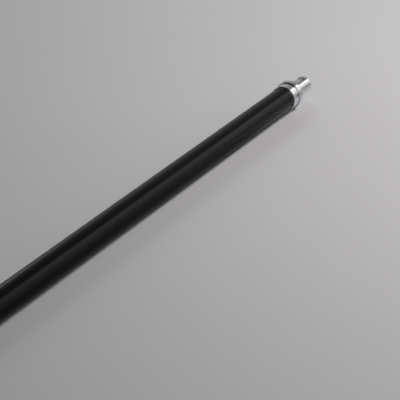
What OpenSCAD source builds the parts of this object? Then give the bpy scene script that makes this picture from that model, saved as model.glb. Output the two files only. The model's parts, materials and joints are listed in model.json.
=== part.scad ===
// Slide didgeridoo: a black outer tube, and a polished inner tube that pulls out of it to lower the note.
// The axis of the instrument lies along X. The origin is on that axis, at the rear shoulder of the
// mouth sleeve. The mouth points along +X and the bell end along -X.

/* [Outer tube] */
// Outside diameter of the black tube
tube_od = 50; // [44:0.5:60]
// Wall of the black tube
tube_wall = 2; // [1.5:0.25:2.5]
// Length of the black tube
tube_length = 1300; // [1000:10:1700]

/* [Slide] */
// Outside diameter of the inner tube
slide_od = 32; // [26:0.5:34]
// Wall of the inner tube
slide_wall = 2; // [1.5:0.25:2.5]
// How far the inner tube pulls out
slide_travel = 500; // [300:10:600]

/* [Mouth] */
// Length of the polished sleeve that shows in front of the nut
sleeve_length = 62; // [40:1:90]
// Wall of the polished sleeve
sleeve_wall = 1.5; // [1:0.25:2]
// Thickness of the lip ring in front of the sleeve
lip_thickness = 2.5; // [2:0.25:4]
// Depth that the lip ring goes into the sleeve
lip_depth = 5; // [4:0.5:8]
// Distance of the sleeve screws behind the front of the sleeve
sleeve_screw_setback = 12; // [10:0.5:14]
// Direction of the first sleeve screw, as an angle from the top
sleeve_screw_angle = 4; // [0:1:90]
// Diameter of the round windows in the sleeve
window_d = 13; // [11:0.5:14]
// Head diameter of the sleeve screws
sleeve_screw_head_d = 8.2; // [7:0.2:9]
// Thread diameter of the sleeve screws
sleeve_screw_d = 4; // [3:0.5:4]

/* [Collar] */
// Height of the collar above the black tube
collar_rise = 2; // [1.5:0.25:3.5]
// Length of the polished ring of the collar
collar_length = 21; // [16:0.5:26]
// Depth of the black tube's seat in the collar
tube_seat_depth = 11; // [8:0.5:11]
// Thickness of the gasket in front of the black tube's end
gasket_thickness = 1; // [0.5:0.25:1.5]
// Thickness of the threaded wall of the collar's nose
nose_wall = 3; // [2.5:0.25:4]
// Diameter of the grub screws
grub_d = 5; // [3:0.5:5]
// Number of grub screws in each ring
grub_count = 3; // [2:1:4]
// Direction of the first grub screw, as an angle from the top
grub_angle = 75; // [0:5:90]
// Width of the black band behind the collar
band_width = 8; // [6:0.5:12]
// Thickness of the black band
band_thickness = 0.5; // [0.3:0.1:0.8]

/* [Lock nut] */
// Length of the lock nut
nut_length = 12.5; // [11:0.5:18]
// Height of the lock nut above the black tube
nut_rise = 4.2; // [3.6:0.2:6]
// Thickness of the nut's front wall
nut_front = 2.5; // [2:0.25:4]
// Width of the groove between collar and nut
groove_width = 1.6; // [1:0.2:3]
// Depth of that groove below the collar
groove_depth = 1; // [0.5:0.25:2]

/* [Seals] */
// Cord diameter of the bell ring's O-ring
bell_cord = 1.5; // [1:0.25:1.75]
// Length of the nylon clamp collet
collet_length = 6.6; // [6:0.2:7]
// Number of slots in the clamp collet
collet_slots = 8; // [4:1:12]

/* [Guide] */
// Length of the guide ring on the inner end of the slide
guide_length = 20; // [14:1:30]
// Cord diameter of the guide ring's O-ring
guide_ring_cord = 2; // [1.5:0.25:2.5]
// Thickness of the rubber stop
bumper_thickness = 4; // [3:0.5:6]
// Thickness of the retaining rings
clip_thickness = 1.5; // [1.2:0.1:2]

/* [Bell end] */
// Height of the bell ring above the black tube
bell_rise = 4.2; // [4:0.2:6]
// Length of the bell ring in front of the tube's end
bell_front = 14; // [12:1:20]
// How far the black tube goes into the bell ring
bell_seat_depth = 18; // [14:1:24]
// Radius lost at the bell ring's opening
bell_step = 1; // [0.5:0.25:2]
// Thickness of the rubber foot
foot_thickness = 8; // [6:0.5:10]

/* [Hidden] */
$fn = 96;

// Clearances, all on the radius or on the length
run_fit = 0.05;      // a piece that slides or turns on another
seat_fit = 0.02;     // a piece that is fixed on another
thread_fit = 0.1;    // a thread, which is plain here
rest_gap = 0.2;      // between the slide's shoulder and the nut, and at the far stop
eps = 0.01;

// Radii
tube_r = tube_od / 2;
tube_bore_r = tube_r - tube_wall;
slide_r = slide_od / 2;
slide_bore_r = slide_r - slide_wall;
sleeve_r = slide_r + seat_fit + sleeve_wall;
collar_r = tube_r + collar_rise;
groove_r = collar_r - groove_depth;
nut_r = tube_r + nut_rise;
bell_r = tube_r + bell_rise;
foot_wall = 2.5;
foot_inner_r = bell_r - foot_wall;
gland_shift = 0.5;
gland_r = (slide_r + tube_bore_r) / 2 + gland_shift;   // bore of the collar's nose
nose_r = gland_r + nose_wall;
gland_gap = gland_r - slide_r;
slide_cord_r = (gland_gap - 2 * run_fit) / 2;
clip_groove = slide_wall * 0.4;
nut_clearance = 0.3;
nut_bore_r = slide_r + nut_clearance;
bell_bore_r = tube_bore_r - bell_step;

// Places along X, from the mouth to the bell
nut_front_x = -rest_gap;
nut_rear_x = nut_front_x - nut_length;
nut_shoulder_x = nut_front_x - nut_front;
collar_front_x = nut_rear_x - groove_width;
nut_room = 0.4;       // behind the nut, for it to tighten
groove_front_x = nut_rear_x - nut_room;
collar_rear_x = collar_front_x - collar_length;
web_x = collar_rear_x + tube_seat_depth;      // the collar's web starts here
tube_front_x = web_x - gasket_thickness;
tube_rear_x = tube_front_x - tube_length;
collet_front_x = nut_shoulder_x - run_fit;
collet_rear_x = collet_front_x - collet_length;
slide_cord_x = collet_rear_x - run_fit - slide_cord_r;
bush_front_x = slide_cord_x - slide_cord_r - run_fit;
nose_gap = 2;         // room for the nut to tighten
nose_front_x = nut_shoulder_x - nose_gap;
bush_flange_x = web_x - seat_fit;
bush_flange = 3;
bush_rear_x = bush_flange_x - bush_flange;
bumper_front_x = bush_rear_x - rest_gap - slide_travel;
front_clip_x = bumper_front_x - bumper_thickness - seat_fit;
guide_front_x = front_clip_x - clip_thickness - run_fit;
guide_rear_x = guide_front_x - guide_length;
rear_clip_x = guide_rear_x - run_fit;
slide_tail = 3;
slide_rear_x = rear_clip_x - clip_thickness - slide_tail;
slide_front_x = sleeve_length - lip_depth;
sleeve_screw_x = sleeve_length - sleeve_screw_setback;
bell_seat_x = tube_rear_x;
bell_ring_front_x = bell_seat_x + bell_seat_depth;
bell_ring_rear_x = bell_seat_x - bell_front;
foot_seat = 4;
foot_rear_x = bell_ring_rear_x - (foot_thickness - foot_seat);
bush_grub_x = (web_x + collar_front_x) / 2;
bell_grub_setback = 4;
bell_grub_x = bell_seat_x + bell_grub_setback;
bell_seal_setback = 6.5;
bell_seal_x = bell_ring_front_x - bell_seal_setback;

// Colours
black_coat = [0.06, 0.06, 0.065];
polished = [0.86, 0.87, 0.89];
rubber_black = [0.03, 0.03, 0.03];
nylon_white = [0.9, 0.89, 0.85];
acetal_black = [0.09, 0.09, 0.1];
steel_dark = [0.3, 0.3, 0.32];

// A turned piece: points are [radius, x]
module turned(points) {
    rotate([0, 90, 0]) rotate_extrude() polygon(points);
}

// A plain ring from x0 to x1
module ring(x0, x1, inner_r, outer_r) {
    turned([[inner_r, x0], [outer_r, x0], [outer_r, x1], [inner_r, x1]]);
}

// An O-ring: middle radius, cord radius and place
module o_ring(x, middle_r, cord_r) {
    translate([x, 0, 0]) rotate([0, 90, 0]) rotate_extrude() translate([middle_r, 0]) circle(r = cord_r);
}

// Puts what points along +Z around the axis: count pieces from the first angle on
module around(x, count, first_angle = 0) {
    for (i = [0 : count - 1]) rotate([first_angle + i * 360 / count, 0, 0]) translate([x, 0, 0]) children();
}

// Radial holes through a wall, from inner_r outwards
module radial_holes(x, count, first_angle, hole_d, inner_r, outer_r) {
    around(x, count, first_angle) translate([0, 0, inner_r]) cylinder(d = hole_d, h = outer_r - inner_r);
}

// Grub screws with a hexagon socket, from the radius that they press on to just under the ring's surface
module grub_screws(x, tip_r, ring_r) {
    sunk = 0.4;
    screw_length = ring_r - tip_r - sunk;
    socket_depth = min(2.2, screw_length * 0.55);
    socket_d = grub_d * 0.58;
    around(x, grub_count, grub_angle) translate([0, 0, tip_r + seat_fit]) difference() {
        cylinder(d = grub_d - 2 * seat_fit, h = screw_length);
        translate([0, 0, screw_length - socket_depth])
            cylinder(d = socket_d, h = socket_depth + eps, $fn = 6);
    }
}

module outer_tube() {
    color(black_coat) ring(tube_rear_x, tube_front_x - seat_fit, tube_bore_r, tube_r);
}

module end_band() {
    edge = band_thickness * 0.6;
    rear = collar_rear_x - seat_fit - band_width;
    front = collar_rear_x - seat_fit;
    color(rubber_black) turned([
        [tube_r + seat_fit, rear], [tube_r + band_thickness - edge / 2, rear],
        [tube_r + band_thickness, rear + edge], [tube_r + band_thickness, front], [tube_r + seat_fit, front]
    ]);
}

// The black tube's end is screwed and bonded into the collar's rear, up to the gasket
module tube_collar() {
    edge = 0.6;
    color(polished) difference() {
        turned([
            [gland_r, nose_front_x], [nose_r - edge, nose_front_x], [nose_r, nose_front_x - edge],
            [nose_r, groove_front_x], [groove_r, groove_front_x], [groove_r, collar_front_x],
            [collar_r - edge, collar_front_x], [collar_r, collar_front_x - edge],
            [collar_r, collar_rear_x + edge], [collar_r - edge, collar_rear_x],
            [tube_r + seat_fit, collar_rear_x], [tube_r + seat_fit, web_x], [gland_r, web_x]
        ]);
        radial_holes(bush_grub_x, grub_count, grub_angle, grub_d, gland_r - 1, collar_r + 1);
    }
}

module collar_gasket() {
    color(rubber_black) ring(tube_front_x, web_x - seat_fit, tube_bore_r, tube_r);
}

module bush_grub_screws() {
    color(steel_dark) grub_screws(bush_grub_x, gland_r, collar_r);
}

// A flanged bush: its body is in the collar's nose and its flange inside the black tube's end
module slide_bush() {
    color(acetal_black) turned([
        [slide_r + run_fit, bush_front_x], [gland_r - seat_fit, bush_front_x],
        [gland_r - seat_fit, bush_flange_x], [tube_bore_r - seat_fit, bush_flange_x],
        [tube_bore_r - seat_fit, bush_rear_x], [slide_r + run_fit, bush_rear_x]
    ]);
}

module slide_o_ring() {
    color(rubber_black) o_ring(slide_cord_x, slide_r + run_fit + slide_cord_r, slide_cord_r);
}

// The nut presses on the front of the collet, whose fingers close on the slide
module clamp_collet() {
    taper = gland_gap * 0.4;
    slot_width = 1.2;
    web = 1.6;
    color(nylon_white) difference() {
        turned([
            [slide_r + run_fit, collet_rear_x], [gland_r - run_fit, collet_rear_x],
            [gland_r - run_fit, collet_front_x - taper], [gland_r - run_fit - taper, collet_front_x],
            [slide_r + run_fit, collet_front_x]
        ]);
        around(0, collet_slots) translate([collet_rear_x + web, -slot_width / 2, slide_r - 1])
            cube([collet_length, slot_width, gland_gap + 2]);
    }
}

module lock_nut() {
    edge = 1;
    color(polished) turned([
        [nut_bore_r, nut_shoulder_x], [nose_r + thread_fit, nut_shoulder_x],
        [nose_r + thread_fit, nut_rear_x], [nut_r - edge, nut_rear_x], [nut_r, nut_rear_x + edge],
        [nut_r, nut_front_x - edge], [nut_r - edge, nut_front_x], [nut_bore_r, nut_front_x]
    ]);
}

module slide_tube() {
    color(polished) difference() {
        ring(slide_rear_x, slide_front_x, slide_bore_r, slide_r);
        for (x = [front_clip_x, rear_clip_x])
            ring(x - clip_thickness - seat_fit, x + seat_fit, slide_r - clip_groove, slide_r + 1);
        radial_holes(sleeve_screw_x, 2, sleeve_screw_angle, sleeve_screw_d, slide_bore_r - 1, slide_r + 1);
    }
}

module mouth_sleeve() {
    color(polished) difference() {
        ring(0, sleeve_length, slide_r + seat_fit, sleeve_r);
        radial_holes(sleeve_screw_x, 2, sleeve_screw_angle, window_d, slide_bore_r, sleeve_r + 1);
    }
}

// Low-headed screws in the sleeve's windows, just under its surface: they hold the slide tube to the
// sleeve and stay clear of the tube's bore
module sleeve_screws() {
    dome_h = 0.5;
    sunk = 0.08;
    rim_r = sleeve_screw_head_d / 2 - dome_h;
    head_h = sqrt(pow(sleeve_r, 2) - pow(rim_r, 2)) - sunk - slide_r - seat_fit;
    socket_d = sleeve_screw_d * 0.5;
    color(steel_dark) around(sleeve_screw_x, 2, sleeve_screw_angle) difference() {
        union() {
            translate([0, 0, slide_bore_r + 0.1])
                cylinder(d = sleeve_screw_d - 2 * seat_fit, h = slide_wall + head_h / 2);
            translate([0, 0, slide_r + seat_fit]) rotate_extrude() polygon([
                [0, 0], [sleeve_screw_head_d / 2, 0], [sleeve_screw_head_d / 2, head_h - dome_h],
                [rim_r, head_h], [0, head_h]
            ]);
        }
        translate([0, 0, slide_r + head_h * 0.35]) cylinder(d = socket_d, h = head_h, $fn = 6);
    }
}

// Rubber rings that fill the windows around the screw heads and keep the screw holes airtight
module screw_seals() {
    sunk = 0.22;
    inner_r = sleeve_screw_head_d / 2 + seat_fit;
    outer_r = window_d / 2 - seat_fit;
    color(rubber_black) intersection() {
        ring(sleeve_screw_x - window_d, sleeve_screw_x + window_d, slide_r + seat_fit, sleeve_r - sunk);
        around(sleeve_screw_x, 2, sleeve_screw_angle) difference() {
            cylinder(r = outer_r, h = sleeve_r + 1);
            translate([0, 0, -1]) cylinder(r = inner_r, h = sleeve_r + 3);
        }
    }
}

module lip_ring() {
    round_r = 1.1;
    front = sleeve_length + lip_thickness;
    flange_r = sleeve_r - 0.2;
    color(polished) rotate([0, 90, 0]) rotate_extrude() union() {
        polygon([
            [slide_bore_r, slide_front_x + seat_fit], [slide_r, slide_front_x + seat_fit],
            [slide_r, sleeve_length + seat_fit], [flange_r, sleeve_length + seat_fit],
            [flange_r, front - round_r], [slide_bore_r, front - round_r]
        ]);
        translate([slide_bore_r + round_r, front - round_r - eps])
            square([flange_r - slide_bore_r - 2 * round_r, round_r + eps]);
        translate([flange_r - round_r, front - round_r]) circle(r = round_r);
        translate([slide_bore_r + round_r, front - round_r]) circle(r = round_r);
    }
}

module stop_bumper() {
    bumper_rise = 2;
    bumper_r = (slide_r + tube_bore_r) / 2 + bumper_rise;
    color(rubber_black)
        ring(bumper_front_x - bumper_thickness, bumper_front_x, slide_r + seat_fit, bumper_r);
}

module retaining_rings() {
    opening = 5;
    clip_rise = 2.2;
    clip_r = slide_r + clip_rise;
    color(steel_dark) for (x = [front_clip_x, rear_clip_x]) difference() {
        ring(x - clip_thickness, x, slide_r - clip_groove + seat_fit, clip_r);
        translate([x - clip_thickness - 1, -opening / 2, 0])
            cube([clip_thickness + 2, opening, clip_r + 1]);
    }
}

module guide_ring() {
    edge = 0.6;
    groove_half = guide_ring_cord * 0.6;
    middle = (guide_front_x + guide_rear_x) / 2;
    guide_r = tube_bore_r - run_fit;
    color(acetal_black) difference() {
        turned([
            [slide_r + run_fit, guide_rear_x], [guide_r - edge, guide_rear_x],
            [guide_r, guide_rear_x + edge], [guide_r, guide_front_x - edge],
            [guide_r - edge, guide_front_x], [slide_r + run_fit, guide_front_x]
        ]);
        ring(middle - groove_half, middle + groove_half, guide_r - guide_ring_cord * 1.02, guide_r + 1);
    }
}

module guide_o_ring() {
    middle = (guide_front_x + guide_rear_x) / 2;
    cord_r = guide_ring_cord / 2;
    color(rubber_black) o_ring(middle, tube_bore_r - run_fit - cord_r, cord_r - eps);
}

module bell_ring() {
    edge = 1.2;
    groove_half = bell_cord * 0.6;
    groove_r = tube_r + bell_cord * 0.95;
    color(polished) difference() {
        turned([
            [tube_r + seat_fit, bell_ring_front_x], [bell_r - edge, bell_ring_front_x],
            [bell_r, bell_ring_front_x - edge], [bell_r, bell_ring_rear_x + foot_seat],
            [foot_inner_r, bell_ring_rear_x + foot_seat], [foot_inner_r, bell_ring_rear_x],
            [bell_bore_r, bell_ring_rear_x], [bell_bore_r, bell_seat_x - seat_fit],
            [tube_r + seat_fit, bell_seat_x - seat_fit]
        ]);
        ring(bell_seal_x - groove_half, bell_seal_x + groove_half, tube_r - 1, groove_r);
        radial_holes(bell_grub_x, grub_count, grub_angle, grub_d, tube_r - 1, bell_r + 1);
    }
}

module bell_o_ring() {
    color(rubber_black) o_ring(bell_seal_x, tube_r + bell_cord * 0.5, bell_cord * 0.45);
}

module bell_grub_screws() {
    color(steel_dark) grub_screws(bell_grub_x, tube_r, bell_r);
}

// A rubber foot around the bell ring's end: it also covers the end face
module bell_foot() {
    edge = 1.5;
    opening_r = bell_bore_r + 1;
    seat = bell_ring_rear_x + foot_seat - seat_fit;
    color(rubber_black) turned([
        [foot_inner_r + seat_fit, seat], [bell_r, seat], [bell_r, foot_rear_x + edge],
        [bell_r - edge, foot_rear_x], [opening_r, foot_rear_x],
        [opening_r, bell_ring_rear_x - seat_fit], [foot_inner_r + seat_fit, bell_ring_rear_x - seat_fit]
    ]);
}

outer_tube();
end_band();
tube_collar();
collar_gasket();
bush_grub_screws();
slide_bush();
slide_o_ring();
clamp_collet();
lock_nut();
slide_tube();
mouth_sleeve();
sleeve_screws();
screw_seals();
lip_ring();
stop_bumper();
retaining_rings();
guide_ring();
guide_o_ring();
bell_ring();
bell_o_ring();
bell_grub_screws();
bell_foot();
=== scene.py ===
"""Slide didgeridoo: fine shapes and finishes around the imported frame, with a studio and a camera."""

import json
import math

import bmesh
import bpy
from mathutils import Matrix, Vector

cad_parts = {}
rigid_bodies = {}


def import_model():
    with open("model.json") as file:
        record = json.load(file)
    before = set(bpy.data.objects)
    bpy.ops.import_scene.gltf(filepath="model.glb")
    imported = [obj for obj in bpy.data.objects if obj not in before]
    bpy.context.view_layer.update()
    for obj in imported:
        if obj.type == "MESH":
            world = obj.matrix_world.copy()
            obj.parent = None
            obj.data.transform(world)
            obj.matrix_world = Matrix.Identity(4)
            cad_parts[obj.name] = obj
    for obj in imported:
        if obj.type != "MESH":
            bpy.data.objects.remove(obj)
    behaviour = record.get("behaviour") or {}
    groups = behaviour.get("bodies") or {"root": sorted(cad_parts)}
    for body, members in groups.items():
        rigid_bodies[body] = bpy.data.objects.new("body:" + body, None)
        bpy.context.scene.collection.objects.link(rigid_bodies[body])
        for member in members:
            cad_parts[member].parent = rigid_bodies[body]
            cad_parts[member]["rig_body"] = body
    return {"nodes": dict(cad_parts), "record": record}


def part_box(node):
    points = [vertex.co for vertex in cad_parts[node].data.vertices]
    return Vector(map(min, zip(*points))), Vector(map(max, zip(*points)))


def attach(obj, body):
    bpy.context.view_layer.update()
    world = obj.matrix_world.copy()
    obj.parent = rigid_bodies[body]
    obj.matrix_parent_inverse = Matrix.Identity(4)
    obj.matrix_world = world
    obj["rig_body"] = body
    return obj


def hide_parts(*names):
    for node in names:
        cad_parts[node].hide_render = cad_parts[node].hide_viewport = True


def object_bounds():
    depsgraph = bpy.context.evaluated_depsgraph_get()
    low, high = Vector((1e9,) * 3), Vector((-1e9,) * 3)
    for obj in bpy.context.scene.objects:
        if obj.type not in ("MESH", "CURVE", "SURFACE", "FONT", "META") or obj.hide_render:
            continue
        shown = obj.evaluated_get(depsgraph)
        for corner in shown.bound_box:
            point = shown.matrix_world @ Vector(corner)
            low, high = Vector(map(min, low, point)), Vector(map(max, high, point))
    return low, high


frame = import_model()
cad_low, cad_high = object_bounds()
NODES = frame["nodes"]
MM = 0.001

# ---- The camera: its lens, where it aims, and from where ----
LENS_MM = 171.0
SENSOR_MM = 36.0
AIM = Vector((-0.5619, -0.0908, 0.0))
LOOK_AZIMUTH = math.radians(28.39)      # from +X towards +Y
LOOK_DOWN = math.radians(24.16)
CAMERA_DISTANCE = 3.445

# ---- Fineness of the turned pieces ----
AROUND = 256                            # vertices in a ring
HOLE_AROUND = 64                        # vertices in the ring of a hole
ARC_STEPS = 5                           # steps in a rounded edge
SHARP = math.radians(32)                # an edge that turns more than this stays sharp
CUTTER_UNDER = MM                       # how far a hole's cutter starts inside the bore
CUTTER_OVER = 2 * MM                    # and how far it ends outside the surface


# ======== Shapes ========

def radii(node):
    """The smallest and largest distance of a CAD node's surface from the axis."""
    found = [math.hypot(v.co.y, v.co.z) for v in NODES[node].data.vertices]
    return min(found), max(found)


def span(node):
    """Where a CAD node starts and ends along the axis."""
    low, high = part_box(node)
    return low.x, high.x


def rounded(corners):
    """A closed outline from corners (x, r, radius of the rounding there)."""
    points = []
    count = len(corners)
    for i, (x, r, rounding) in enumerate(corners):
        corner = Vector((x, r))
        if rounding <= 0:
            points.append(corner)
            continue
        before = (Vector(corners[i - 1][:2]) - corner).normalized()
        after = (Vector(corners[(i + 1) % count][:2]) - corner).normalized()
        half = before.angle(after) / 2
        start = corner + before * rounding / math.tan(half)
        centre = corner + (before + after).normalized() * rounding / math.sin(half)
        turn = math.pi - 2 * half
        side = 1 if before.cross(after) > 0 else -1
        for step in range(ARC_STEPS + 1):
            angle = -side * turn * step / ARC_STEPS
            points.append(centre + Matrix.Rotation(angle, 2) @ (start - centre))
    return points


def turned_mesh(name, outline, around=AROUND):
    """The closed outline (x, r) turned about the X axis."""
    shape = bmesh.new()
    rings = []
    for x, r in outline:
        ring = []
        for k in range(around):
            a = 2 * math.pi * k / around
            ring.append(shape.verts.new((x, r * math.cos(a), r * math.sin(a))))
        rings.append(ring)
    for i, ring in enumerate(rings):
        following = rings[(i + 1) % len(rings)]
        for k in range(around):
            n = (k + 1) % around
            shape.faces.new((ring[k], ring[n], following[n], following[k]))
    bmesh.ops.recalc_face_normals(shape, faces=shape.faces)
    mesh = bpy.data.meshes.new(name)
    shape.to_mesh(mesh)
    shape.free()
    return mesh


def link(name, data):
    """Puts a new object with its mesh, light or camera in the scene."""
    piece = bpy.data.objects.new(name, data)
    bpy.context.scene.collection.objects.link(piece)
    return piece


def drill(x, angle, bore, outer_r, hole_r, chamfer):
    """A cutter for one radial hole, with a small chamfer where it comes out at outer_r."""
    start, end = bore - CUTTER_UNDER, outer_r + CUTTER_OVER
    outline = [(start, hole_r), (outer_r - chamfer, hole_r), (end, hole_r + chamfer + CUTTER_OVER)]
    shape = bmesh.new()
    low = shape.verts.new((start, 0, 0))
    high = shape.verts.new((end, 0, 0))
    rings = []
    for along, r in outline:
        ring = []
        for k in range(HOLE_AROUND):
            a = 2 * math.pi * k / HOLE_AROUND
            ring.append(shape.verts.new((along, r * math.cos(a), r * math.sin(a))))
        rings.append(ring)
    for k in range(HOLE_AROUND):
        n = (k + 1) % HOLE_AROUND
        shape.faces.new((low, rings[0][n], rings[0][k]))
        shape.faces.new((high, rings[-1][k], rings[-1][n]))
        for first, second in zip(rings, rings[1:]):
            shape.faces.new((first[k], first[n], second[n], second[k]))
    bmesh.ops.recalc_face_normals(shape, faces=shape.faces)
    mesh = bpy.data.meshes.new("cutter")
    shape.to_mesh(mesh)
    shape.free()
    upright = Matrix.Rotation(-math.pi / 2, 4, "Y")
    mesh.transform(Matrix.Rotation(angle, 4, "X") @ Matrix.Translation((x, 0, 0)) @ upright)
    return link("cutter", mesh)


def settle(piece):
    """Applies a piece's modifiers to its mesh."""
    bpy.context.view_layer.update()
    evaluated = piece.evaluated_get(bpy.context.evaluated_depsgraph_get())
    mesh = bpy.data.meshes.new_from_object(evaluated)
    piece.modifiers.clear()
    piece.data = mesh


def smooth(piece):
    """Smooth shading, with the sharp edges kept."""
    piece.data.shade_smooth()
    piece.data.set_sharp_from_angle(angle=SHARP)


# ======== Finishes ========

# The stretch of a noise value that is spread between a finish's two ends
NOISE_START = 0.35
NOISE_END = 0.65
MICRON = 0.001 * MM               # for the heights of reliefs


class Finish:
    """A node-based material on one Principled shader."""

    def __init__(self, name, metallic, specular=0.5):
        self.material = bpy.data.materials.new(name)
        self.material.use_nodes = True
        self.nodes = self.material.node_tree.nodes
        self.links = self.material.node_tree.links
        self.shader = self.nodes["Principled BSDF"]
        self.shader.inputs["Metallic"].default_value = metallic
        self.shader.inputs["Specular IOR Level"].default_value = specular
        self.place = self.nodes.new("ShaderNodeTexCoord").outputs["Object"]
        self.last_normal = None

    def noise(self, scale, detail=3.0, roughness=0.5, stretch=(1, 1, 1)):
        """A noise value over the surface; stretch squeezes it along an axis."""
        squeeze = self.nodes.new("ShaderNodeMapping")
        squeeze.inputs["Scale"].default_value = stretch
        self.links.new(self.place, squeeze.inputs["Vector"])
        texture = self.nodes.new("ShaderNodeTexNoise")
        texture.inputs["Scale"].default_value = scale
        texture.inputs["Detail"].default_value = detail
        texture.inputs["Roughness"].default_value = roughness
        self.links.new(squeeze.outputs["Vector"], texture.inputs["Vector"])
        return texture.outputs["Fac"]

    def ramp(self, value, low, high, start=NOISE_START, end=NOISE_END):
        """Turns a noise value into a number between low and high."""
        spread = self.nodes.new("ShaderNodeMapRange")
        spread.inputs["From Min"].default_value = start
        spread.inputs["From Max"].default_value = end
        spread.inputs["To Min"].default_value = low
        spread.inputs["To Max"].default_value = high
        self.links.new(value, spread.inputs["Value"])
        return spread.outputs["Result"]

    def colour(self, value, first, second, start=NOISE_START, end=NOISE_END):
        """Base colour that drifts from the first colour to the second with a noise value."""
        mix = self.nodes.new("ShaderNodeMix")
        mix.data_type = "RGBA"
        mix.inputs["A"].default_value = (*first, 1)
        mix.inputs["B"].default_value = (*second, 1)
        self.links.new(self.ramp(value, 0, 1, start, end), mix.inputs["Factor"])
        self.links.new(mix.outputs["Result"], self.shader.inputs["Base Color"])

    def roughness(self, value, low, high):
        """Roughness that drifts from low to high with a noise value."""
        self.links.new(self.ramp(value, low, high), self.shader.inputs["Roughness"])

    def bump(self, value, height):
        """Adds relief of that height in metres."""
        relief = self.nodes.new("ShaderNodeBump")
        relief.inputs["Strength"].default_value = 1.0
        relief.inputs["Distance"].default_value = height
        self.links.new(value, relief.inputs["Height"])
        if self.last_normal:
            self.links.new(self.last_normal, relief.inputs["Normal"])
        self.last_normal = relief.outputs["Normal"]
        self.links.new(self.last_normal, self.shader.inputs["Normal"])


def shade(tone, factor):
    """A tone made paler or darker."""
    return tuple(c * factor for c in tone)


def polished_metal(name, tone, rough=(0.07, 0.13), lines_along=False):
    """Turned and polished aluminium: very fine rings, or drawing lines along a tube, and wipe marks."""
    finish = Finish(name, metallic=1.0)
    finish.colour(finish.noise(35, detail=4), tone, shade(tone, 0.94))
    finish.roughness(finish.noise(60, detail=5, roughness=0.6), *rough)
    if lines_along:
        lines = finish.noise(900, detail=2, stretch=(0.01, 1, 1))
    else:
        lines = finish.noise(2600, detail=2, stretch=(1, 0.006, 0.006))
    finish.bump(lines, 1.5 * MICRON)
    finish.bump(finish.noise(220, detail=3, roughness=0.6), 3 * MICRON)
    return finish.material


def black_coat():
    """Satin black anodising over a drawn tube: faint lines along it and a very fine grain."""
    finish = Finish("black_coat", metallic=0.0, specular=0.15)
    drift = finish.noise(9, detail=4, stretch=(0.3, 1, 1))
    finish.colour(drift, (0.0034, 0.0034, 0.0036), (0.0052, 0.0052, 0.0056))
    finish.roughness(finish.noise(22, detail=5, roughness=0.6, stretch=(0.25, 1, 1)), 0.2, 0.27)
    finish.bump(finish.noise(2400, detail=2), 4 * MICRON)
    finish.bump(finish.noise(700, detail=2, stretch=(0.02, 1, 1)), 3 * MICRON)
    return finish.material


def rubber(name, tone, rough, grain=1500, specular=0.4):
    """Moulded rubber: a fine grain, and a little dust in its colour."""
    finish = Finish(name, metallic=0.0, specular=specular)
    finish.colour(finish.noise(45, detail=5), tone, shade(tone, 1.7), start=0.4, end=0.75)
    finish.roughness(finish.noise(80, detail=4), *rough)
    finish.bump(finish.noise(grain, detail=3), 20 * MICRON)
    return finish.material


def machined_plastic(name, tone, rough):
    """Machined plastic: rings from the tool and a slightly waxy gloss."""
    finish = Finish(name, metallic=0.0, specular=0.5)
    finish.colour(finish.noise(30, detail=4), tone, shade(tone, 1.15))
    finish.roughness(finish.noise(70, detail=4), *rough)
    finish.bump(finish.noise(1500, detail=2, stretch=(1, 0.01, 0.01)), 8 * MICRON)
    return finish.material


def steel(name, tone, rough):
    """Screw and spring steel, with small blotches in its colour."""
    finish = Finish(name, metallic=1.0)
    finish.colour(finish.noise(420, detail=4), tone, shade(tone, 0.7))
    finish.roughness(finish.noise(500, detail=4), *rough)
    finish.bump(finish.noise(2500, detail=2), 4 * MICRON)
    return finish.material


COLLAR_TONE = (0.9, 0.905, 0.915)
SLIDE_TONE = (0.88, 0.885, 0.9)
SLEEVE_TONE = (0.92, 0.925, 0.935)

# Each finish after its name: a tone, and the range of its roughness
MATERIALS = {
    "black_coat": black_coat(),
    "band_rubber": rubber("band_rubber", (0.004, 0.004, 0.004), (0.24, 0.34)),
    "collar_metal": polished_metal("collar_metal", COLLAR_TONE),
    "nut_metal": polished_metal("nut_metal", COLLAR_TONE),
    "slide_metal": polished_metal("slide_metal", SLIDE_TONE, (0.09, 0.16), lines_along=True),
    "sleeve_metal": polished_metal("sleeve_metal", SLEEVE_TONE, (0.05, 0.1)),
    "lip_metal": polished_metal("lip_metal", SLEEVE_TONE, (0.05, 0.1)),
    "screw_steel": steel("screw_steel", (0.07, 0.07, 0.075), (0.3, 0.42)),
    "sleeve_screw_steel": steel("sleeve_screw_steel", (0.93, 0.935, 0.945), (0.2, 0.3)),
    "spring_steel": steel("spring_steel", (0.13, 0.13, 0.14), (0.35, 0.5)),
    "bush_plastic": machined_plastic("bush_plastic", (0.016, 0.016, 0.018), (0.38, 0.5)),
    "collet_plastic": machined_plastic("collet_plastic", (0.74, 0.72, 0.66), (0.35, 0.48)),
    "seal_rubber": rubber("seal_rubber", (0.006, 0.006, 0.006), (0.4, 0.55), specular=0.05),
    "foot_rubber": rubber("foot_rubber", (0.012, 0.012, 0.012), (0.5, 0.65), grain=1100),
}


# ======== The turned pieces ========

def turned_piece(name, node, slot, corners, cutters=()):
    """A finely turned piece that stands for a CAD node, rides on its body and has its finish."""
    piece = link(name, turned_mesh(name, rounded(corners)))
    for cutter in cutters:
        cut = piece.modifiers.new("hole", "BOOLEAN")
        cut.operation = "DIFFERENCE"
        cut.solver = "EXACT"
        cut.object = cutter
    if cutters:
        settle(piece)
        for cutter in cutters:
            bpy.data.objects.remove(cutter)
    smooth(piece)
    weigh = piece.modifiers.new("normals", "WEIGHTED_NORMAL")
    weigh.weight = 100
    weigh.keep_sharp = True
    settle(piece)
    piece.data.materials.clear()
    piece.data.materials.append(MATERIALS[slot])
    body = NODES[node]["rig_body"]
    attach(piece, body)
    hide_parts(node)
    return piece


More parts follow.
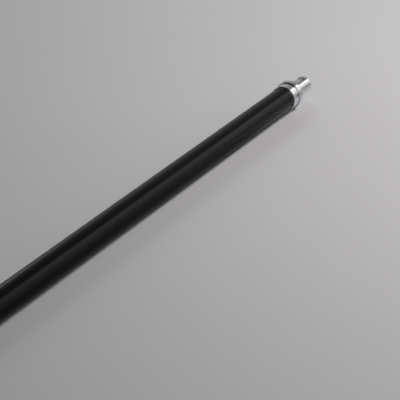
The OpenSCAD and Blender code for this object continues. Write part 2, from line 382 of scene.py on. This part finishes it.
# An outline's corners are (along the axis, from the axis, radius of the rounding there)
FIT = 0.02 * MM                 # between pieces that touch
BROKEN = 0.1 * MM               # rounding of an edge that is only broken
FINE = 0.2 * MM
EDGE = 0.3 * MM
SOFT = 0.4 * MM

tube_rear, tube_front = span("outer_tube")
tube_bore, tube_r = radii("outer_tube")
turned_piece(
    "black_tube", "outer_tube", "black_coat",
    [(tube_rear, tube_bore, EDGE), (tube_rear, tube_r, EDGE),
     (tube_front, tube_r, EDGE), (tube_front, tube_bore, EDGE)])

BAND_EDGE = 0.28 * MM
band_rear, band_front = span("end_band")
band_bore, band_r = radii("end_band")
turned_piece(
    "black_band", "end_band", "band_rubber",
    [(band_rear, band_bore, 0), (band_rear, band_r, BAND_EDGE),
     (band_front, band_r, BROKEN), (band_front, band_bore, 0)])

# Grub screws: the first one's angle, how many there are around a ring, and their holes
GRUB_ANGLE = math.radians(75)
GRUB_COUNT = 3
GRUB_CLEARANCE = 0.04 * MM
GRUB_CHAMFER = 0.25 * MM


def grub_holes(screws, bore, outer_r):
    """Cutters for the holes around a ring's grub screws."""
    rear, front = span(screws)
    hole_r = (front - rear) / 2 + GRUB_CLEARANCE
    angles = [GRUB_ANGLE + 2 * math.pi * k / GRUB_COUNT for k in range(GRUB_COUNT)]
    return [drill((rear + front) / 2, angle, bore, outer_r, hole_r, GRUB_CHAMFER) for angle in angles]


GROOVE = 1.6 * MM               # between the collar and the nut
GROOVE_DEPTH = 1.0 * MM
GROOVE_CORNER = 0.15 * MM
NUT_ROOM = 0.12 * MM            # between the groove's floor and the nut
NOSE_WALL = 3 * MM              # of the threaded nose under the nut
COLLAR_EDGE = 0.5 * MM
collar_rear, nose_front = span("tube_collar")
collar_bore, collar_r = radii("tube_collar")
nut_rear, nut_front = span("lock_nut")
nut_bore, nut_r = radii("lock_nut")
nose_r = collar_bore + NOSE_WALL
collar_front = nut_rear - GROOVE
groove_r = collar_r - GROOVE_DEPTH
web = span("collar_gasket")[1]
turned_piece(
    "collar", "tube_collar", "collar_metal",
    [(collar_rear, tube_r + FIT, BROKEN), (collar_rear, collar_r, COLLAR_EDGE),
     (collar_front, collar_r, SOFT), (collar_front, groove_r, BROKEN),
     (nut_rear - NUT_ROOM, groove_r, GROOVE_CORNER), (nut_rear - NUT_ROOM, nose_r, 0),
     (nose_front, nose_r, SOFT), (nose_front, collar_bore, FINE),
     (web, collar_bore, 0), (web, tube_r + FIT, 0)],
    grub_holes("bush_grub_screws", collar_bore, collar_r))

THREAD_ROOM = 0.1 * MM
NUT_WALL_FRONT = 2.5 * MM
NUT_EDGE_REAR = 0.35 * MM
NUT_EDGE_FRONT = 0.9 * MM
nut_thread_r = nose_r + THREAD_ROOM
turned_piece(
    "nut", "lock_nut", "nut_metal",
    [(nut_rear, nut_thread_r, FINE), (nut_rear, nut_r, NUT_EDGE_REAR),
     (nut_front, nut_r, NUT_EDGE_FRONT), (nut_front, nut_bore, EDGE),
     (nut_front - NUT_WALL_FRONT, nut_bore, BROKEN), (nut_front - NUT_WALL_FRONT, nut_thread_r, 0)])

CLIP_GROOVE = 0.8 * MM
CLIP_THICKNESS = 1.5 * MM
slide_rear, slide_front = span("slide_tube")
slide_bore, slide_r = radii("slide_tube")
clips_rear, clips_front = span("retaining_rings")


def groove(start, end):
    """Corners of a clip's groove in the slide, from its rear to its front."""
    return [(start, slide_r, 0), (start, slide_r - CLIP_GROOVE, 0),
            (end, slide_r - CLIP_GROOVE, 0), (end, slide_r, 0)]


# The two screws through the sleeve into the slide, and the windows they sit in
SLEEVE_SCREW_ANGLES = (math.radians(4), math.radians(184))
SCREW_SHANK_R = 2 * MM
SCREW_HEAD_R = 4.1 * MM
WINDOW_R = 6.5 * MM
WINDOW_CHAMFER = 0.12 * MM
screw_low, screw_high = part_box("sleeve_screws")
screw_x = (screw_low.x + screw_high.x) / 2


def screw_holes(bore, outer_r, hole_r, chamfer):
    """Cutters for the holes at the two screws."""
    return [drill(screw_x, angle, bore, outer_r, hole_r, chamfer) for angle in SLEEVE_SCREW_ANGLES]


turned_piece(
    "inner_tube", "slide_tube", "slide_metal",
    [(slide_rear, slide_bore, EDGE), (slide_rear, slide_r, EDGE),
     *groove(clips_rear - FIT, clips_rear + CLIP_THICKNESS + FIT),
     *groove(clips_front - CLIP_THICKNESS - FIT, clips_front + FIT),
     (slide_front, slide_r, EDGE), (slide_front, slide_bore, EDGE)],
    screw_holes(slide_bore, slide_r, SCREW_SHANK_R, 0))

sleeve_rear, sleeve_front = span("mouth_sleeve")
sleeve_bore, sleeve_r = radii("mouth_sleeve")
turned_piece(
    "sleeve", "mouth_sleeve", "sleeve_metal",
    [(sleeve_rear, sleeve_bore, BROKEN), (sleeve_rear, sleeve_r, EDGE),
     (sleeve_front, sleeve_r, EDGE), (sleeve_front, sleeve_bore, BROKEN)],
    screw_holes(sleeve_bore, sleeve_r, WINDOW_R, WINDOW_CHAMFER))

# The rubber ring in a window: heights are from the sleeve's surface
BEAD_CROWN = -0.06 * MM
BEAD_SHOULDER = -0.3 * MM
BEAD_ROUNDING = 0.8 * MM


def bead(name, angle):
    """One rubber ring: its crown is just under the sleeve's surface and follows it round."""
    inner, outer = SCREW_HEAD_R + FIT, WINDOW_R - FIT
    middle = (inner + outer) / 2
    foot = slide_r + FIT - sleeve_r
    ring = turned_mesh(name, rounded([
        (foot, inner, 0), (BEAD_SHOULDER, inner, BROKEN), (BEAD_CROWN, middle, BEAD_ROUNDING),
        (BEAD_SHOULDER, outer, BROKEN), (foot, outer, 0)]), HOLE_AROUND * 2)
    for corner in ring.vertices:
        height, along, across = corner.co
        around = angle - across / sleeve_r
        r = sleeve_r + height
        corner.co = (screw_x + along, -r * math.sin(around), r * math.cos(around))
    return ring


for seal_number, angle in enumerate(SLEEVE_SCREW_ANGLES):
    seal = link("window_seal_%d" % seal_number, bead("window_seal", angle))
    smooth(seal)
    seal.data.materials.append(MATERIALS["seal_rubber"])
    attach(seal, NODES["screw_seals"]["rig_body"])
    if seal_number == 0:
        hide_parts("screw_seals")

LIP_EDGE = 1.2 * MM
lip_rear, lip_front = span("lip_ring")
lip_bore, lip_r = radii("lip_ring")
turned_piece(
    "lip", "lip_ring", "lip_metal",
    [(lip_rear, lip_bore, BROKEN), (lip_rear, slide_r, BROKEN),
     (sleeve_front + FIT, slide_r, 0), (sleeve_front + FIT, lip_r, FINE),
     (lip_front, lip_r, LIP_EDGE), (lip_front, lip_bore, LIP_EDGE)])

BELL_EDGE = 1.0 * MM
SEAL_ROOM = 0.2 * MM            # on both sides of the seal in its groove
SEAL_DEPTH = 1.42 * MM
FOOT_WALL = 2.5 * MM            # of the foot where it holds the bell ring
bell_rear, bell_front = span("bell_ring")
bell_bore, bell_r = radii("bell_ring")
foot_rear, foot_front = span("bell_foot")
foot_bore, foot_r = radii("bell_foot")
seal_rear, seal_front = span("bell_o_ring")
turned_piece(
    "bell_collar", "bell_ring", "collar_metal",
    [(bell_front, tube_r + FIT, FINE), (bell_front, bell_r, BELL_EDGE),
     (foot_front + FIT, bell_r, EDGE), (foot_front + FIT, bell_r - FOOT_WALL, 0),
     (bell_rear, bell_r - FOOT_WALL, EDGE), (bell_rear, bell_bore, SOFT),
     (tube_rear - FIT, bell_bore, 0), (tube_rear - FIT, tube_r + FIT, 0),
     (seal_rear - SEAL_ROOM, tube_r + FIT, 0), (seal_rear - SEAL_ROOM, tube_r + SEAL_DEPTH, 0),
     (seal_front + SEAL_ROOM, tube_r + SEAL_DEPTH, 0), (seal_front + SEAL_ROOM, tube_r + FIT, 0)],
    grub_holes("bell_grub_screws", tube_r, bell_r))

FOOT_EDGE = 1.6 * MM
FOOT_BORE_EDGE = 0.8 * MM
turned_piece(
    "end_foot", "bell_foot", "foot_rubber",
    [(foot_front, bell_r - FOOT_WALL + FIT, FINE), (foot_front, foot_r, SOFT),
     (foot_rear, foot_r, FOOT_EDGE), (foot_rear, foot_bore, FOOT_BORE_EDGE),
     (bell_rear - FIT, foot_bore, FINE), (bell_rear - FIT, bell_r - FOOT_WALL + FIT, 0)])


def coat(node, material):
    """Gives a CAD node its finish."""
    piece = NODES[node]
    if not piece.material_slots:
        piece.data.materials.append(material)
    for place in piece.material_slots:
        place.material = material


# The other CAD pieces keep their shapes
for part in frame["record"]["subparts"]:
    coat(part["node"], MATERIALS[part["material_slot"]])

# ======== The studio ========

FLOOR_HALF = 14.0
FLOOR_ALBEDO = (0.56, 0.56, 0.565)
FLOOR_ROUGHNESS = 0.85
# Painted shade on the floor that only reflections see: how much of its tone shows there, at metres
# along a direction, from the mouth sleeve
FLOOR_PAINTED_SHADE_TOWARDS = (0.84, -0.54, 0.0)
FLOOR_PAINTED_SHADE = (
    (-0.7, 0.3), (-0.15, 0.42), (0.0, 0.9), (0.05, 0.95), (0.09, 0.84), (0.12, 0.82), (0.2, 0.54))


def floor_material():
    """Pale paper, with painted shade that only reflections see: darker beside the black tube and beyond
    the mouth end.
    """
    finish = Finish("floor", metallic=0.0, specular=0.2)
    finish.colour(finish.noise(1.2, detail=2), FLOOR_ALBEDO, shade(FLOOR_ALBEDO, 0.985))
    finish.shader.inputs["Roughness"].default_value = FLOOR_ROUGHNESS
    away = finish.nodes.new("ShaderNodeVectorMath")
    away.operation = "DOT_PRODUCT"
    away.inputs[1].default_value = FLOOR_PAINTED_SHADE_TOWARDS
    finish.links.new(finish.place, away.inputs[0])
    first, last = FLOOR_PAINTED_SHADE[0][0], FLOOR_PAINTED_SHADE[-1][0]
    steps = finish.nodes.new("ShaderNodeValToRGB")
    stops = steps.color_ramp.elements
    stops.remove(stops[1])
    for k, (distance, tone) in enumerate(FLOOR_PAINTED_SHADE):
        stop = stops.new((distance - first) / (last - first)) if k else stops[0]
        stop.color = (tone, tone, tone, 1)
    finish.links.new(finish.ramp(away.outputs["Value"], 0, 1, first, last), steps.inputs["Fac"])
    # Painted shade: glossy rays see the floor's colour scaled down by the steps above
    path = finish.nodes.new("ShaderNodeLightPath")
    painted_shade = finish.nodes.new("ShaderNodeMix")
    painted_shade.inputs["A"].default_value = 1
    finish.links.new(path.outputs["Is Glossy Ray"], painted_shade.inputs["Factor"])
    finish.links.new(steps.outputs["Color"], painted_shade.inputs["B"])
    tint = finish.nodes.new("ShaderNodeVectorMath")
    tint.operation = "SCALE"
    base = finish.shader.inputs["Base Color"]
    finish.links.new(base.links[0].from_socket, tint.inputs["Vector"])
    finish.links.new(painted_shade.outputs["Result"], tint.inputs["Scale"])
    finish.links.new(tint.outputs["Vector"], base)
    return finish.material


floor_mesh = bpy.data.meshes.new("floor")
half, ground = FLOOR_HALF, cad_low.z
floor_mesh.from_pydata(
    [(-half, -half, ground), (half, -half, ground), (half, half, ground), (-half, half, ground)],
    [], [(0, 1, 2, 3)])
floor = link("floor", floor_mesh)
floor_mesh.materials.append(floor_material())


def softbox(name, position, target, width, height, watts):
    """A rectangular soft light at a position, turned to a target."""
    light = bpy.data.lights.new(name, "AREA")
    light.shape = "RECTANGLE"
    light.size = width
    light.size_y = height
    light.energy = watts
    lamp = link(name, light)
    lamp.location = position
    lamp.rotation_euler = (Vector(position) - Vector(target)).to_track_quat("Z", "Y").to_euler()
    return lamp


def power(radiance, width, height):
    """The watts that give a rectangular light its radiance."""
    return radiance * math.pi * width * height


# The key: three strips, one above the other, that face the same way
KEY_AT = Vector((3.7, -2.17, 2.13))
KEY_AIM = Vector((0.0, 0.0, 0.0))
KEY_ACROSS = Vector((0.0, 0.687, 0.727))    # from the lower strip to the upper one
KEY_STRIP = 0.8                             # height of a strip
KEY_LENGTH = 3.2
KEY_RADIANCE = (0.4, 0.56, 0.9)

facing = (KEY_AT - KEY_AIM).normalized()
sideways = KEY_ACROSS.cross(facing).normalized()
key_turn = Matrix((sideways, facing.cross(sideways), facing)).transposed().to_euler()
for k, radiance in enumerate(KEY_RADIANCE):
    strip = softbox(
        "key_%d" % k, KEY_AT + KEY_ACROSS * (k - 1) * KEY_STRIP, KEY_AIM,
        KEY_LENGTH, KEY_STRIP, power(radiance, KEY_LENGTH, KEY_STRIP))
    strip.rotation_euler = key_turn

# Panels that show in the metal and the black tube, each named after the side it shows from
PANEL_AIM = (-0.6, 0, 0)
PANEL_AWAY = 5.0
PANEL_SIZE = (2.4, 1.5)
PANEL_RADIANCE = 0.8
PANELS = {"front": (0.05, -0.88, 0.47), "mouth": (-0.80, -0.45, 0.40),
          "rear": (-0.2, 0.88, 0.43), "bell": (0.45, 0.80, 0.40)}
for side, towards in PANELS.items():
    panel = softbox(
        "panel_" + side, Vector(towards).normalized() * PANEL_AWAY, PANEL_AIM,
        *PANEL_SIZE, power(PANEL_RADIANCE, *PANEL_SIZE))
    panel.visible_diffuse = False

# Lamps that only light things: position, target, width, height, watts and colour.
# The one above is faintly rosy, the one at the side faintly blue.
LAMPS = {
    "overhead": ((0.75, -1.45, 2.56), (0.75, -1.45, 0), 1.2, 1.2, 84, (1.0, 0.966, 0.982)),
    "side": ((3.0, 2.0, 1.7), (-0.4, 0, 0), 1.4, 1.0, 40, (0.985, 0.99, 1.0)),
}
for side, (*placing, colour) in LAMPS.items():
    lamp = softbox(side, *placing)
    lamp.data.color = colour
    lamp.visible_glossy = False

HORIZON = 0.36
CEILING = 0.02
CEILING_EDGE = (0.35, 0.75)             # how steeply up the walls start to darken, and end
DOORWAY = 0.05
DOORWAY_TOWARDS = (-0.80, 0.43, 0.41)   # a dark place up beyond the bell end, on the +Y side
DOORWAY_EDGE = (0.80, 0.92)             # how straight towards it the dark starts, and is full


def studio_world():
    """Grey walls that darken towards the ceiling, and one dark doorway."""
    world = bpy.data.worlds.new("studio")
    world.use_nodes = True
    nodes, links = world.node_tree.nodes, world.node_tree.links
    background = nodes["Background"]
    direction = nodes.new("ShaderNodeTexCoord").outputs["Generated"]

    def step(value, start, end, first, second):
        """A soft step from the first number to the second."""
        change = nodes.new("ShaderNodeMapRange")
        change.interpolation_type = "SMOOTHSTEP"
        change.inputs["From Min"].default_value = start
        change.inputs["From Max"].default_value = end
        change.inputs["To Min"].default_value = first
        change.inputs["To Max"].default_value = second
        links.new(value, change.inputs["Value"])
        return change.outputs["Result"]

    parts = nodes.new("ShaderNodeSeparateXYZ")
    links.new(direction, parts.inputs["Vector"])
    doorway = nodes.new("ShaderNodeVectorMath")
    doorway.operation = "DOT_PRODUCT"
    doorway.inputs[1].default_value = DOORWAY_TOWARDS
    links.new(direction, doorway.inputs[0])
    product = nodes.new("ShaderNodeMath")
    product.operation = "MULTIPLY"
    links.new(step(parts.outputs["Z"], *CEILING_EDGE, HORIZON, CEILING), product.inputs[0])
    links.new(step(doorway.outputs["Value"], *DOORWAY_EDGE, 1, DOORWAY), product.inputs[1])
    links.new(product.outputs["Value"], background.inputs["Color"])
    bpy.context.scene.world = world


studio_world()

lens = bpy.data.cameras.new("camera")
lens.lens = LENS_MM
lens.sensor_width = SENSOR_MM
lens.clip_end = 100
camera = link("camera", lens)
looking = Vector((
    math.cos(LOOK_DOWN) * math.cos(LOOK_AZIMUTH), math.cos(LOOK_DOWN) * math.sin(LOOK_AZIMUTH),
    -math.sin(LOOK_DOWN)))
camera.location = AIM - looking * CAMERA_DISTANCE
camera.rotation_euler = looking.to_track_quat("-Z", "Y").to_euler()
bpy.context.scene.camera = camera
bpy.context.scene.view_settings.view_transform = "Standard"
